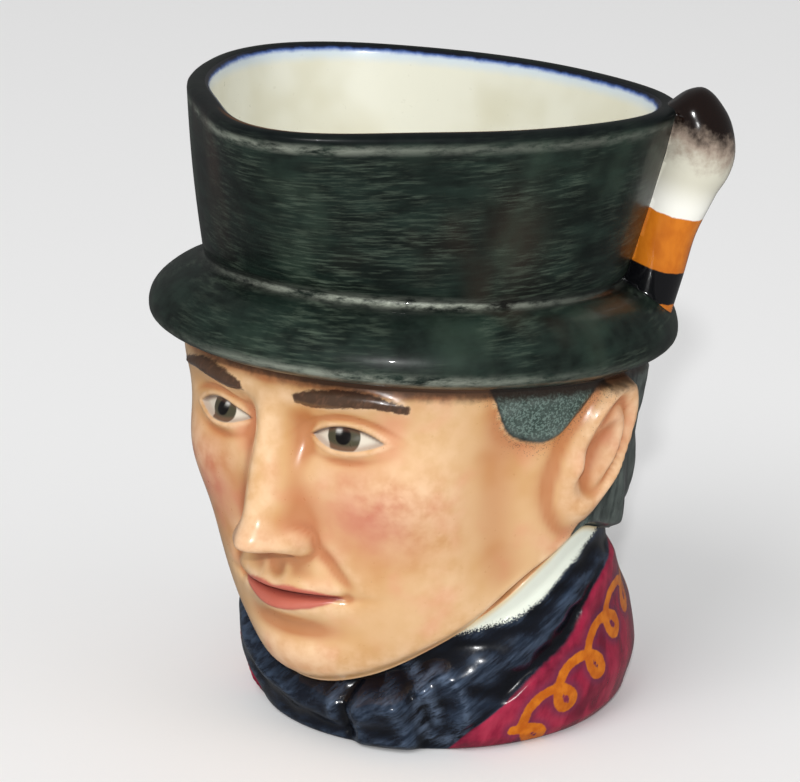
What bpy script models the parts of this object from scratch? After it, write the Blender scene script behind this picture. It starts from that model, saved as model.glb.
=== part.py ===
# A glazed earthenware jug in the form of a head in a tall hat, slip-cast in one piece
# with its handle. Metres, +Z up. The face looks along -Y, the figure's own left side is
# at +X, and the origin is the centre of the underside of the foot.
# Angles run round the jug in degrees from the face, positive towards +X.

import math

import bpy
import numpy as np

MM = 0.001

# Foot, bust and wall
FOOT_RADIUS = 25.0 * MM
FOOT_ROUND = 0.8 * MM        # rounding of the foot's lower edge
BUST_RADIUS = 26.9 * MM      # fullest radius of the neckcloth and coat
BUST_HEIGHT = 8.0 * MM       # height of that fullest radius
WALL = 2.6 * MM              # body of the jug, outside to inside
FLOOR = 3.2 * MM             # thickness of the bottom
FLOOR_FILLET = 2.2 * MM      # inside, between the wall and the floor

# Head
HEAD_RADIUS = 31.2 * MM      # under the brim, round the middle of the hat
HEAD_LEAN = 5.5 * MM         # how far the hat's middle stands in front of the foot's
LEAN_HEIGHT = 42.0 * MM      # height by which the head has come that far forward
CHIN_HEIGHT = 9.5 * MM
BROW_HEIGHT = 51.5 * MM
EYE_WIDTH = 10.8 * MM        # the face is five eyes wide
NAPE_HEIGHT = 25.0 * MM      # lower edge of the hair behind
COLLAR_HEIGHT = 4.0 * MM     # shirt collar that shows above the neckcloth
CHIN_TUCK = 4.2 * MM         # how far the neck lies in behind the edge of the chin
JAW_TUCK = 1.2 * MM
NAPE_TUCK = 0.6 * MM
EDGE_ROUND = 1.4 * MM        # the jaw's and the hair's lower edge turn in by this
EAR_ANGLE = 90.0
EAR_HEIGHT = 42.5 * MM       # middle of the ear
EAR_LENGTH = 20.0 * MM
EAR_WIDTH = 12.5 * MM
EAR_THICKNESS = 2.3 * MM
EAR_SLOPE = 0.3              # how far the ear leans back for each metre up
SIDEBURN_HEIGHT = 45.3 * MM  # lowest hair in front of the ear

# Hat
RIM_HEIGHT = 86.8 * MM       # top edge, over the middle of the hat
RIM_RISE = 0.06              # rise of the top edge for each metre towards the face
RIM_SIDE_RISE = 0.014        # rise towards the figure's right
RIM_WALL = 3.1 * MM
BRIM_HEIGHT = 62.2 * MM      # line where the brim leaves the crown, over the middle
BRIM_RISE = 0.078
BRIM_SIDE_RISE = -0.004
BRIM_DROP = 5.8 * MM         # from that line down to the brim's widest line
BRIM_SAG = 0.9 * MM          # the widest line hangs lower on the figure's left by this
BRIM_DEPTH = 9.2 * MM        # from the crown down to where the brim meets the head
BRIM_WIDTH = 35.1 * MM       # brim radius at the sides
BRIM_LENGTH = 37.0 * MM      # brim radius in front and behind
BRIM_ROLL = 0.45 * MM        # rounds the brim's widest line underneath
BRIM_UNDERCUT = 2.0 * MM     # how far the brim has drawn in just above the head
CROWN_RADIUS = 28.4 * MM     # crown at its foot
CROWN_FILLET = 0.9 * MM      # rounds the corner between crown and brim
CROWN_SWELL = 0.35 * MM      # how far the crown's side bows out half way up
OPENING_RADIUS = 27.2 * MM   # opening across its flatter sides
LIP_ANGLE = 6.0              # middle of the pouring lip
LIP_REACH = 7.0 * MM         # how far the lip stands out of that radius
LIP_SPREAD = 24.0
LIP_DROOP = 0.3 * MM
CORNER_ANGLE = 116.0         # from the lip to the soft corner on each side behind
CORNER_REACH = 5.1 * MM
CORNER_SPREAD = 30.0

# Handle, a short crop with a horn top, grown together with the crown along its length
HANDLE_ANGLE = 122.0
HANDLE_FOOT = 31.9 * MM      # from the middle of the hat to the handle's centre line
HANDLE_REACH = 38.1 * MM     # the same at the horn's fullest
HORN_HEIGHT = 79.3 * MM      # height of the horn's fullest bend
HANDLE_THICKNESS = 6.2 * MM  # at the foot
HORN_THICKNESS = 9.4 * MM
HANDLE_KEEL = 1.3 * MM       # ridge along the inner side that joins it to the crown

# Mesh
COLUMNS = 72
BUST_ROWS = 8
HEAD_ROWS = 27
CROWN_ROWS = 6
INSIDE_ROWS = 9
HANDLE_SIDES = 14
HANDLE_RINGS = 18

THIRD = (BROW_HEIGHT - CHIN_HEIGHT) / 2    # brow to nose and nose to chin


def smooth(low, high, value):
    share = np.clip((value - low) / (high - low), 0.0, 1.0)
    return share * share * (3.0 - 2.0 * share)


def bump(value, centre, width):
    return np.exp(-(((value - centre) / width) ** 2))


def curve(value, *points):
    # smooth line through (place, value) pairs, level beyond its ends
    places = np.array([point[0] for point in points], float)
    values = np.array([point[1] for point in points], float)
    slopes = np.gradient(values, places)
    slopes[0] = slopes[-1] = 0.0
    value = np.clip(value, places[0], places[-1])
    index = np.clip(np.searchsorted(places, value, side="right") - 1, 0, len(places) - 2)
    span = places[index + 1] - places[index]
    t = (value - places[index]) / span
    return (
        (1 + 2 * t) * (1 - t) ** 2 * values[index]
        + t * (1 - t) ** 2 * span * slopes[index]
        + t * t * (3 - 2 * t) * values[index + 1]
        + t * t * (t - 1) * span * slopes[index + 1]
    )


def column_angles(count):
    # closer together on the face and on the ears
    turn = np.linspace(-180.0, 180.0, 1441)
    density = 1.0 + 1.1 * bump(turn, 0, 42) + 1.3 * bump(np.abs(turn), EAR_ANGLE, 12)
    total = np.concatenate([[0.0], np.cumsum((density[1:] + density[:-1]) / 2)])
    return np.interp(total[-1] * np.arange(count) / count, total, turn)


def lean(height):
    return HEAD_LEAN * smooth(0.0, LEAN_HEIGHT, height)


def place(angle, radius, height, shift):
    turn = np.radians(angle)
    return np.stack(
        [radius * np.sin(turn), -shift - radius * np.cos(turn), height + 0 * angle], -1
    )


# Edges that run round the jug, as heights by angle
def jaw_edge(angle):
    # from the chin along the jaw to the ear lobe, then the nape's hairline
    return curve(
        np.abs(angle),
        (0, CHIN_HEIGHT),
        (18, CHIN_HEIGHT + 1.6 * MM),
        (40, CHIN_HEIGHT + 6.4 * MM),
        (60, CHIN_HEIGHT + 11.8 * MM),
        (EAR_ANGLE - 14, CHIN_HEIGHT + 17.0 * MM),
        (EAR_ANGLE, CHIN_HEIGHT + 20.6 * MM),
        (EAR_ANGLE + 12, CHIN_HEIGHT + 19.0 * MM),
        (EAR_ANGLE + 32, NAPE_HEIGHT),
        (180, NAPE_HEIGHT),
    )


def cloth_edge(angle):
    # top of the neckcloth, where the shirt collar shows above it
    side = np.abs(angle)
    return jaw_edge(angle) - COLLAR_HEIGHT * smooth(38, 74, side) * smooth(104, 88, side)


def coat_edge(angle):
    # the coat's front edge climbs from the foot to the collar behind the ear
    return curve(
        np.abs(angle),
        (36, -1.0 * MM),
        (47, 3.4 * MM),
        (65, 10.2 * MM),
        (84, 15.8 * MM),
        (93, 20.3 * MM),
        (100, 22.3 * MM),
        (180, 22.3 * MM),
    )


def sideburn_edge(angle):
    # lower edge of the tuft of hair in front of the ear
    return SIDEBURN_HEIGHT + curve(
        np.abs(angle),
        (55, 8.5 * MM),
        (61, 2.4 * MM),
        (68, 0.1 * MM),
        (76, 0.4 * MM),
        (81, 3.0 * MM),
        (88, 6.0 * MM),
    )


def brim_top(angle):
    turn = np.radians(angle)
    return BRIM_HEIGHT + BRIM_WIDTH * (BRIM_RISE * np.cos(turn) - BRIM_SIDE_RISE * np.sin(turn))


def brim_edge(angle):
    return brim_top(angle) - BRIM_DROP - BRIM_SAG * np.sin(np.radians(angle))


def brim_foot(angle):
    return brim_edge(angle) - (BRIM_DEPTH - BRIM_DROP)


def rim_level(angle):
    turn = np.radians(angle)
    slope = RIM_RISE * np.cos(turn) - RIM_SIDE_RISE * np.sin(turn)
    droop = LIP_DROOP * bump((angle - LIP_ANGLE + 180) % 360 - 180, 0, LIP_SPREAD)
    return RIM_HEIGHT + opening_radius(angle) * slope - droop


def opening_radius(angle):
    turn = (angle - LIP_ANGLE + 180) % 360 - 180
    lip = LIP_REACH * bump(turn, 0, LIP_SPREAD)
    corners = CORNER_REACH * bump(np.abs(turn), CORNER_ANGLE, CORNER_SPREAD)
    return OPENING_RADIUS + lip + corners


# Head
def head_radius(angle, height):
    turn = np.radians(angle)
    share = height / BROW_HEIGHT
    side = curve(share, (0.15, 0.66), (0.35, 0.80), (0.55, 0.89), (0.8, 0.95), (1.05, 1.0))
    front = curve(share, (0.15, 0.90), (0.35, 0.945), (0.6, 0.955), (1.05, 1.0))
    hair = ((0.4, 0.7), (0.5, 0.727), (0.57, 0.86), (0.67, 0.93), (0.77, 0.905), (0.9, 0.97))
    back = curve(share, *hair, (1.05, 1.0))
    depth = np.where(np.cos(turn) > 0, front, back)
    return HEAD_RADIUS * side * depth / np.hypot(depth * np.sin(turn), side * np.cos(turn))


def face_relief(angle, height):
    # carved features, in millimetres, by thirds of the face and widths of an eye
    turn = np.radians(angle)
    side = np.abs(HEAD_RADIUS * np.sin(turn)) / EYE_WIDTH
    level = (height - CHIN_HEIGHT) / THIRD
    down = np.clip(2.0 - level, 0, 1.25)
    nose_half = 0.19 + 0.19 * down
    nose = (0.9 + 6.4 * down**1.25) * np.exp(-((side / nose_half) ** 2.2))
    nose = nose * smooth(0.93, 1.07, level) * smooth(2.15, 1.85, level)
    fold_side = 0.52 + 0.48 * np.clip((1.1 - level) / 0.4, 0, 1)
    relief = (
        1.2 * bump(level, 2.04, 0.14) * bump(side, 0.95, 0.8)
        - 2.4 * bump(level, 1.80, 0.19) * bump(side, 0.95, 0.62)
        - 1.4 * bump(level, 1.78, 0.17) * bump(side, 0.46, 0.2)
        + 1.7 * bump(level, 1.76, 0.12) * bump(side, 1.0, 0.44)
        + nose
        + 1.1 * bump(level, 1.11, 0.09) * bump(side, 0, 0.28)
        + 1.7 * bump(level, 1.07, 0.09) * bump(side, 0.38, 0.15)
        + 1.3 * bump(level, 1.42, 0.32) * bump(side, 1.65, 0.62)
        + 1.7 * bump(level, 0.68, 0.34) * bump(side, 0, 0.9)
        + 1.1 * bump(level, 0.76, 0.06) * bump(side, 0, 0.55)
        - 1.0 * bump(level, 0.68, 0.035) * bump(side, 0, 0.75)
        + 1.3 * bump(level, 0.59, 0.07) * bump(side, 0, 0.45)
        - 1.0 * bump(level, 0.42, 0.1) * bump(side, 0, 0.6)
        + 2.3 * bump(level, 0.2, 0.2) * bump(side, 0, 0.8)
        - 0.6 * bump(side, fold_side, 0.12) * bump(level, 0.9, 0.2)
        - 2.0 * bump(np.abs(angle), 60, 14) * smooth(0.2, 1.0, level) * smooth(2.15, 1.6, level)
    )
    return MM * relief * smooth(-0.05, 0.35, np.cos(turn))


def ear_relief(angle, height):
    up = height - EAR_HEIGHT
    across = (np.abs(angle) - EAR_ANGLE) * math.pi / 180 * HEAD_RADIUS - EAR_SLOPE * up
    ring = np.sqrt((across / (EAR_WIDTH / 2)) ** 2 + (up / (EAR_LENGTH / 2)) ** 2)
    hollow = bump(across, -0.1 * EAR_WIDTH, 0.22 * EAR_WIDTH)
    hollow = hollow * bump(up, -0.06 * EAR_LENGTH, 0.26 * EAR_LENGTH)
    return EAR_THICKNESS * (smooth(1.25, 0.72, ring) - 0.85 * hollow)


def hair_relief(angle, height):
    # locks behind the ears, combed down and a little back
    side = np.abs(angle)
    locks = np.sin(np.radians(side * 15) + 90 * height / RIM_HEIGHT * 0.16)
    back = smooth(EAR_ANGLE + 8, EAR_ANGLE + 20, side)
    above = height - sideburn_edge(angle)
    sideburn = smooth(54, 58, side) * smooth(90, 84, side) * smooth(-0.8 * MM, 0.8 * MM, above)
    return MM * (back * (0.7 + 0.45 * locks) + 0.6 * sideburn)


def head_point(angle, share):
    # share runs from 0 at the jaw's edge to 1 under the brim
    low = jaw_edge(angle)
    high = brim_foot(angle)
    height = low + (high - low) * share
    radius = head_radius(angle, height)
    carving = face_relief(angle, height) + ear_relief(angle, height) + hair_relief(angle, height)
    radius = radius + carving * smooth(1.0, 0.93, share)
    radius = radius - EDGE_ROUND * bump(share, 0.0, 0.025)
    return place(angle, radius, height, lean(height))


# Bust
def knot_relief(angle, height):
    # a domed loop of cloth at the front, a pocket beside it and a fold on each side
    dome = np.hypot((angle - 21) / 11, np.clip(height - 3.5 * MM, 0, None) / (7.0 * MM))
    loop = smooth(1.12, 0.6, dome)
    pocket = bump(angle, 37, 4) * bump(height, 5.5 * MM, 4.0 * MM)
    beside = bump(angle, 47, 5.5) * bump(height, 6.5 * MM, 4.5 * MM)
    far = bump(angle, -42, 13) * bump(height, 9.0 * MM, 4.5 * MM)
    return MM * (1.8 * loop - 0.7 * pocket + 0.6 * beside + 0.6 * far)


def bust_point(angle, share):
    # share runs from 0 on the table to 1 under the jaw's edge
    top = jaw_edge(angle)
    height = top * share
    side = np.abs(angle)
    tuck = CHIN_TUCK + (JAW_TUCK - CHIN_TUCK) * smooth(10, 70, side)
    tuck = tuck + (NAPE_TUCK - JAW_TUCK) * smooth(95, 120, side)
    neck = head_radius(angle, top) - tuck
    full = smooth(0.0, BUST_HEIGHT, height) - 0.25 * smooth(BUST_HEIGHT, 2.2 * BUST_HEIGHT, height)
    body = FOOT_RADIUS + (BUST_RADIUS - FOOT_RADIUS) * full
    radius = body + (neck - body) * smooth(0.55, 1.0, share)
    coat = smooth(0.6 * MM, -0.6 * MM, height - coat_edge(angle))
    collar = smooth(-0.5 * MM, 0.5 * MM, height - cloth_edge(angle)) * smooth(42, 60, side)
    folds = np.sin((height - cloth_edge(angle)) / (3.4 * MM) * math.pi) * (1 - coat) * (1 - collar)
    fade = smooth(0.0, 2.0 * MM, height) * smooth(1.0, 0.86, share)
    radius = radius + fade * MM * (0.9 * coat - 0.7 * collar + 0.4 * folds)
    knot = knot_relief(angle, height) * smooth(1.0, 0.7, share)
    radius = radius + knot * smooth(-1.0 * MM, 1.5 * MM, height)
    return place(angle, radius, height, lean(height))


# Hat
def brim_radius(angle):
    turn = np.radians(angle)
    return BRIM_WIDTH * BRIM_LENGTH / np.hypot(BRIM_LENGTH * np.sin(turn), BRIM_WIDTH * np.cos(turn))


def brim_point(angle, out, down):
    # on top of the brim, both shares run from 0 at the crown to 1 at the widest line
    near = CROWN_RADIUS + CROWN_FILLET
    radius = near + (brim_radius(angle) - near) * out
    height = brim_top(angle) + (brim_edge(angle) - brim_top(angle)) * down
    return place(angle, radius, height, HEAD_LEAN)


def under_brim_point(angle, inset, share):
    # inset from the widest line, share 0 at that line and 1 at the foot of the brim
    height = brim_edge(angle) + (brim_foot(angle) - brim_edge(angle)) * share
    return place(angle, brim_radius(angle) - inset, height, HEAD_LEAN)


def crown_point(angle, share, inset=0.0):
    low = brim_top(angle)
    high = rim_level(angle)
    height = low + (high - low) * share
    outer = opening_radius(angle) + RIM_WALL
    swell = CROWN_SWELL * np.sin(math.pi * share)
    radius = CROWN_RADIUS + (outer - CROWN_RADIUS) * share + swell - inset
    return place(angle, radius, height, HEAD_LEAN)


def outside_rows(angle):
    rows = [place(angle, FOOT_RADIUS - FOOT_ROUND, 0.0, 0.0)]
    rows += [bust_point(angle, share) for share in np.linspace(0.045, 1.0, BUST_ROWS)]
    rows += [head_point(angle, share) for share in np.linspace(0.0, 1.0, HEAD_ROWS)]
    rows.append(under_brim_point(angle, BRIM_UNDERCUT, 0.8))
    rows.append(under_brim_point(angle, BRIM_ROLL, 0.5))
    for out, down in ((1.0, 1.0), (0.94, 0.75), (0.76, 0.48), (0.42, 0.19), (0.0, 0.0)):
        rows.append(brim_point(angle, out, down))
    rows += [crown_point(angle, share) for share in np.linspace(0.05, 0.965, CROWN_ROWS)]
    rows.append(crown_point(angle, 1.0, 0.22 * RIM_WALL))
    return rows


def inside_rows(angle, outside):
    # the hollow keeps at least one wall from the outside, as slip settles in a mould
    rows = [crown_point(angle, 1.0, 0.78 * RIM_WALL), crown_point(angle, 0.955, RIM_WALL)]
    rows.append(crown_point(angle, 0.5, RIM_WALL))
    rows.append(crown_point(angle, 0.1, RIM_WALL))
    rings = np.array(outside)
    centre = -lean(rings[..., 2])
    centre[rings[..., 2] > BRIM_HEIGHT - BRIM_DEPTH] = -HEAD_LEAN
    radii = np.hypot(rings[..., 0], rings[..., 1] - centre)
    heights = rings[..., 2]
    top = brim_foot(angle) - 1.0 * MM
    for share in np.linspace(0.0, 1.0, INSIDE_ROWS):
        height = top + (FLOOR + FLOOR_FILLET - top) * share
        near = np.abs(heights - height) < 3.0 * MM
        least = np.where(near, radii, 1.0).min(axis=0)
        spread = np.min([np.roll(least, step) for step in range(-3, 4)], axis=0)
        soft = np.mean([np.roll(spread, step) for step in range(-2, 3)], axis=0)
        inner = np.minimum(soft, least) - WALL
        rows.append(place(angle, inner, height, lean(height)))
    rows.append(place(angle, inner - FLOOR_FILLET, FLOOR, lean(FLOOR)))
    return rows


def grid_mesh(name, rows, first, last):
    # quads between rows, closed round, with a fan over each end
    count = len(rows[0])
    points = [tuple(point) for row in rows for point in row] + [first, last]
    faces = []
    for row in range(len(rows) - 1):
        for column in range(count):
            after = (column + 1) % count
            low, high = row * count, (row + 1) * count
            faces.append((low + column, low + after, high + after, high + column))
    start, end = len(points) - 2, len(points) - 1
    final = (len(rows) - 1) * count
    for column in range(count):
        after = (column + 1) % count
        faces.append((start, after, column))
        faces.append((end, final + column, final + after))
    mesh = bpy.data.meshes.new(name)
    mesh.from_pydata(points, [], faces)
    mesh.validate()
    return mesh


def handle_mesh():
    # centre line in the upright plane of the handle, as (out from the hat's middle, height)
    turn = math.radians(HANDLE_ANGLE)
    out = np.array([math.sin(turn), -math.cos(turn), 0.0])
    across = np.array([math.cos(turn), math.sin(turn), 0.0])
    foot_height = float(brim_top(np.array(HANDLE_ANGLE))) - 0.75 * BRIM_DROP
    wall_out = float(opening_radius(np.array(HANDLE_ANGLE))) + 0.5 * RIM_WALL
    top = float(rim_level(np.array(HANDLE_ANGLE))) + 0.12 * HORN_THICKNESS
    share = 1 - (1 - np.linspace(0, 1, HANDLE_RINGS)) ** 1.4    # closer together at the top
    bend = HANDLE_REACH - HANDLE_FOOT
    rise = HORN_HEIGHT - foot_height
    reach = curve(
        share,
        (0.0, HANDLE_FOOT - 0.06 * bend),
        (0.19, HANDLE_FOOT + 0.11 * bend),
        (0.42, HANDLE_FOOT + 0.33 * bend),
        (0.62, HANDLE_FOOT + 0.71 * bend),
        (0.77, HANDLE_REACH),
        (0.89, wall_out + 0.79 * (HANDLE_REACH - wall_out)),
        (1.0, wall_out + 0.34 * (HANDLE_REACH - wall_out)),
    )
    height = curve(
        share,
        (0.0, foot_height),
        (0.19, foot_height + 0.26 * rise),
        (0.42, foot_height + 0.56 * rise),
        (0.62, foot_height + 0.82 * rise),
        (0.77, HORN_HEIGHT),
        (0.89, HORN_HEIGHT + 0.56 * (top - HORN_HEIGHT)),
        (1.0, top),
    )
    thick = curve(
        share,
        (0.0, HANDLE_THICKNESS),
        (0.19, HANDLE_THICKNESS * 1.2),
        (0.42, HANDLE_THICKNESS * 1.36),
        (0.62, 0.97 * HORN_THICKNESS),
        (0.77, HORN_THICKNESS),
        (0.89, 0.91 * HORN_THICKNESS),
        (0.96, 0.68 * HORN_THICKNESS),
        (1.0, 0.3 * HORN_THICKNESS),
    )
    centre = np.array([0.0, -HEAD_LEAN, 0.0])
    line = centre + reach[:, None] * out + height[:, None] * np.array([0.0, 0.0, 1.0])
    along = np.gradient(line, axis=0)
    along /= np.linalg.norm(along, axis=1)[:, None]
    steps = 2 * np.pi * np.arange(HANDLE_SIDES)[:, None] / HANDLE_SIDES
    keel = HANDLE_KEEL * np.clip(-np.cos(steps), 0.0, 1.0) ** 3
    rows = []
    for middle, direction, size in zip(line, along, thick):
        normal = np.cross(across, direction)
        out_by = size / 2 * np.cos(steps) - keel
        rows.append(middle + out_by * normal + size / 2 * np.sin(steps) * across)
    return grid_mesh("handle", rows, tuple(line[0]), tuple(line[-1]))


def glaze(name, colour, roughness):
    material = bpy.data.materials.new(name)
    material.use_nodes = True
    shader = material.node_tree.nodes["Principled BSDF"]
    shader.inputs["Base Color"].default_value = (*colour, 1.0)
    shader.inputs["Roughness"].default_value = roughness
    shader.inputs["Metallic"].default_value = 0.0
    return material


def clear_scene():
    for obj in list(bpy.data.objects):
        bpy.data.objects.remove(obj, do_unlink=True)


def face_outwards(mesh):
    # quads that were laid inside out are turned round together
    corners = np.array([vertex.co for vertex in mesh.vertices])
    mesh.calc_loop_triangles()
    triangles = np.array([triangle.vertices for triangle in mesh.loop_triangles])
    if np.linalg.det(corners[triangles]).sum() < 0:
        mesh.flip_normals()


def build_jug():
    angles = column_angles(COLUMNS)
    outside = outside_rows(angles)
    rows = outside + inside_rows(angles, outside)
    body = grid_mesh("character_jug", rows, (0.0, 0.0, 0.0), (0.0, -float(lean(FLOOR)), FLOOR))
    face_outwards(body)
    body.materials.append(glaze("coloured glaze", (0.06, 0.09, 0.08), 0.12))
    jug = bpy.data.objects.new("character_jug", body)
    bpy.context.collection.objects.link(jug)

    handle = handle_mesh()
    face_outwards(handle)
    helper = bpy.data.objects.new("handle_helper", handle)
    bpy.context.collection.objects.link(helper)
    helper.hide_render = True
    helper.display_type = "WIRE"

    union = jug.modifiers.new("join the handle", "BOOLEAN")
    union.operation = "UNION"
    union.solver = "EXACT"
    union.object = helper
    body.shade_smooth()
    return jug


clear_scene()
build_jug()
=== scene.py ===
import math
import bpy
import numpy as np
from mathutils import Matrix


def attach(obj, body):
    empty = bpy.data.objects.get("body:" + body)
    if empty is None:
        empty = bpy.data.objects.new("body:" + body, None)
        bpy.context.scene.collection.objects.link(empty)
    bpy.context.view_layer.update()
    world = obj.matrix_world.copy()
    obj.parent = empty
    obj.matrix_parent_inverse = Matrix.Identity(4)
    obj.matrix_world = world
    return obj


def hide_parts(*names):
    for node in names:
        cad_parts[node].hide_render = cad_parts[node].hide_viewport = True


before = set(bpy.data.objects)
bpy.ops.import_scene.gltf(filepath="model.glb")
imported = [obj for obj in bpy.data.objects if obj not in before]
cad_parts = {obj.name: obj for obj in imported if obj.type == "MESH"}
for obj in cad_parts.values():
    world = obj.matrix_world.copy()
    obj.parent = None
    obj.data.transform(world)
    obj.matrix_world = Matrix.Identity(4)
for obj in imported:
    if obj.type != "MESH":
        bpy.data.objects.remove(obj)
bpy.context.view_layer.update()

# A glazed earthenware jug in the form of a head in a tall hat, cast in one piece with its
# handle. Sizes here are in millimetres. Angles run round the jug in degrees from the face,
# positive towards the figure's own left side, which is +X.
mm = 0.001

foot = {"radius": 25.0, "rounding": 0.8}
bust = {
    "radius": 26.9, "fullHeight": 8.0, "chinTuck": 4.2, "jawTuck": 1.2, "napeTuck": 0.6, "collar": 4.0,
    "coatRaised": 0.9, "collarSunk": 0.7, "foldDepth": 0.4, "foldPitch": 3.4,
}
head = {
    "radius": 31.2, "lean": 5.5, "leanHeight": 42.0, "chin": 9.5, "brow": 51.5, "eyeWidth": 10.8,
    "nape": 25.0, "edgeRounding": 1.4,
    # half width and depths as shares of the radius, by share of the brow's height
    "side": ((0.15, 0.66), (0.35, 0.80), (0.55, 0.89), (0.8, 0.95), (1.05, 1.0)),
    "front": ((0.15, 0.90), (0.35, 0.945), (0.6, 0.955), (1.05, 1.0)),
    "back": ((0.4, 0.7), (0.5, 0.727), (0.57, 0.86), (0.67, 0.93), (0.77, 0.905), (0.9, 0.97), (1.05, 1.0)),
}
ear = {"angle": 90.0, "height": 42.5, "length": 20.0, "width": 12.5, "thickness": 2.3, "slope": 0.3}
tuft = {"height": 45.3, "front": 56.0, "back": 91.0}    # the hair in front of the ear
hat = {
    "rimHeight": 86.8, "rimRise": 0.06, "rimSideRise": 0.014, "rimWall": 3.1, "brimHeight": 62.2,
    "brimRise": 0.078, "brimSideRise": -0.004, "brimDrop": 5.8, "brimSag": 0.9, "brimRoll": 0.45,
    "brimUndercut": 2.0, "brimDepth": 9.2, "brimWidth": 35.1, "brimLength": 37.0, "crown": 28.4,
    "fillet": 0.9, "swell": 0.35, "opening": 27.2, "lipAngle": 6.0, "lipReach": 7.0, "lipSpread": 24.0,
    "lipDroop": 0.3, "cornerAngle": 116.0, "cornerReach": 5.1, "cornerSpread": 30.0,
    "lean": head["lean"],
    "rimStart": 0.958,    # share of the crown's height where the rim begins to round over
    "brimInset": 3.4,
    # shares of the brim's width and drop, from its widest line to the crown
    "brimOut": ((0, 1.0), (0.25, 0.94), (0.5, 0.76), (0.75, 0.42), (1.0, 0.0)),
    "brimDown": ((0, 1.0), (0.25, 0.75), (0.5, 0.48), (0.75, 0.19), (1.0, 0.0)),
}
hollow = {"wall": 2.6, "floor": 3.2, "fillet": 2.2}
handle = {
    "angle": 122.0, "foot": 31.9, "reach": 38.1, "hornHeight": 79.3, "thickness": 6.2, "horn": 9.4,
    "keel": 1.3, "sides": 44, "rings": 64,
}
skin = {"columns": 300, "bustRows": 62, "headRows": 128, "crownRows": 24, "insideRows": 26}
third = (head["brow"] - head["chin"]) / 2    # brow to nose and nose to chin


def ramp(low, high, value):
    share = np.clip((value - low) / (high - low), 0.0, 1.0)
    return share * share * (3.0 - 2.0 * share)


def bump(value, centre, width):
    return np.exp(-(((value - centre) / width) ** 2))


def curve(value, *points):
    # smooth line through (place, value) pairs, level beyond its ends
    places = np.array([point[0] for point in points], float)
    values = np.array([point[1] for point in points], float)
    slopes = np.gradient(values, places)
    slopes[0] = slopes[-1] = 0.0
    value = np.clip(value, places[0], places[-1])
    index = np.clip(np.searchsorted(places, value, side="right") - 1, 0, len(places) - 2)
    span = places[index + 1] - places[index]
    t = (value - places[index]) / span
    return (
        (1 + 2 * t) * (1 - t) ** 2 * values[index]
        + t * (1 - t) ** 2 * span * slopes[index]
        + t * t * (3 - 2 * t) * values[index + 1]
        + t * t * (t - 1) * span * slopes[index + 1]
    )


def spaced(count, places, density):
    # count values over the places, closer together where the density is high
    total = np.concatenate([[0.0], np.cumsum((density[1:] + density[:-1]) / 2)])
    return np.interp(np.linspace(0.0, total[-1], count), total, places)


def lean(height):
    return head["lean"] * ramp(0.0, head["leanHeight"], height)


def place(angle, radius, height, shift):
    turn = np.radians(angle)
    return np.stack([radius * np.sin(turn), -shift - radius * np.cos(turn), height + 0 * angle], -1)


# Edges that run round the jug, as heights by angle
def jawEdge(angle):
    middle = ear["angle"]
    rises = [(0, 0.0), (18, 1.6), (40, 6.4), (60, 11.8)]
    rises += [(middle - 14, 17.0), (middle, 20.6), (middle + 12, 19.0)]
    line = [(at, head["chin"] + rise) for at, rise in rises]
    return curve(np.abs(angle), *line, (middle + 32, head["nape"]), (180, head["nape"]))


def clothEdge(angle):
    # top of the neckcloth, where the shirt collar shows above it
    side = np.abs(angle)
    return jawEdge(angle) - bust["collar"] * ramp(38, 74, side) * ramp(104, 88, side)


def coatEdge(angle):
    # the coat's front edge climbs from the foot to the collar behind the ear
    climb = ((36, -1.0), (47, 3.4), (65, 10.2), (84, 15.8), (93, 20.3), (100, 22.3), (180, 22.3))
    return curve(np.abs(angle), *climb)


def sideburnEdge(angle):
    # lower edge of the tuft of hair in front of the ear
    offsets = ((55, 8.5), (61, 2.4), (68, 0.1), (76, 0.4), (81, 3.0), (88, 6.0))
    return tuft["height"] + curve(np.abs(angle), *offsets)


def brimTop(angle):
    turn = np.radians(angle)
    slope = hat["brimRise"] * np.cos(turn) - hat["brimSideRise"] * np.sin(turn)
    return hat["brimHeight"] + hat["brimWidth"] * slope


def brimEdge(angle):
    return brimTop(angle) - hat["brimDrop"] - hat["brimSag"] * np.sin(np.radians(angle))


def brimFoot(angle):
    return brimEdge(angle) - (hat["brimDepth"] - hat["brimDrop"])


def openingRadius(angle):
    turn = (angle - hat["lipAngle"] + 180) % 360 - 180
    lip = hat["lipReach"] * bump(turn, 0, hat["lipSpread"])
    corners = hat["cornerReach"] * bump(np.abs(turn), hat["cornerAngle"], hat["cornerSpread"])
    return hat["opening"] + lip + corners


def rimLevel(angle):
    turn = np.radians(angle)
    slope = hat["rimRise"] * np.cos(turn) - hat["rimSideRise"] * np.sin(turn)
    droop = hat["lipDroop"] * bump((angle - hat["lipAngle"] + 180) % 360 - 180, 0, hat["lipSpread"])
    return hat["rimHeight"] + openingRadius(angle) * slope - droop


# Head
def headRadius(angle, height):
    turn = np.radians(angle)
    share = height / head["brow"]
    side = curve(share, *head["side"])
    depth = np.where(np.cos(turn) > 0, curve(share, *head["front"]), curve(share, *head["back"]))
    return head["radius"] * side * depth / np.hypot(depth * np.sin(turn), side * np.cos(turn))


def faceGrid(angle, height):
    # widths of an eye from the middle line, and thirds of the face above the chin
    side = np.abs(head["radius"] * np.sin(np.radians(angle))) / head["eyeWidth"]
    return side, (height - head["chin"]) / third


def mound(across, up, depth, acrossPlace, acrossReach, upPlace, upReach):
    return depth * bump(up, upPlace, upReach) * bump(across, acrossPlace, acrossReach)


def mounds(across, up, forms):
    # swellings and hollows: depth in mm, then the place and reach across and the place and reach up
    return sum(mound(across, up, *form) for form in forms.values())


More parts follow.
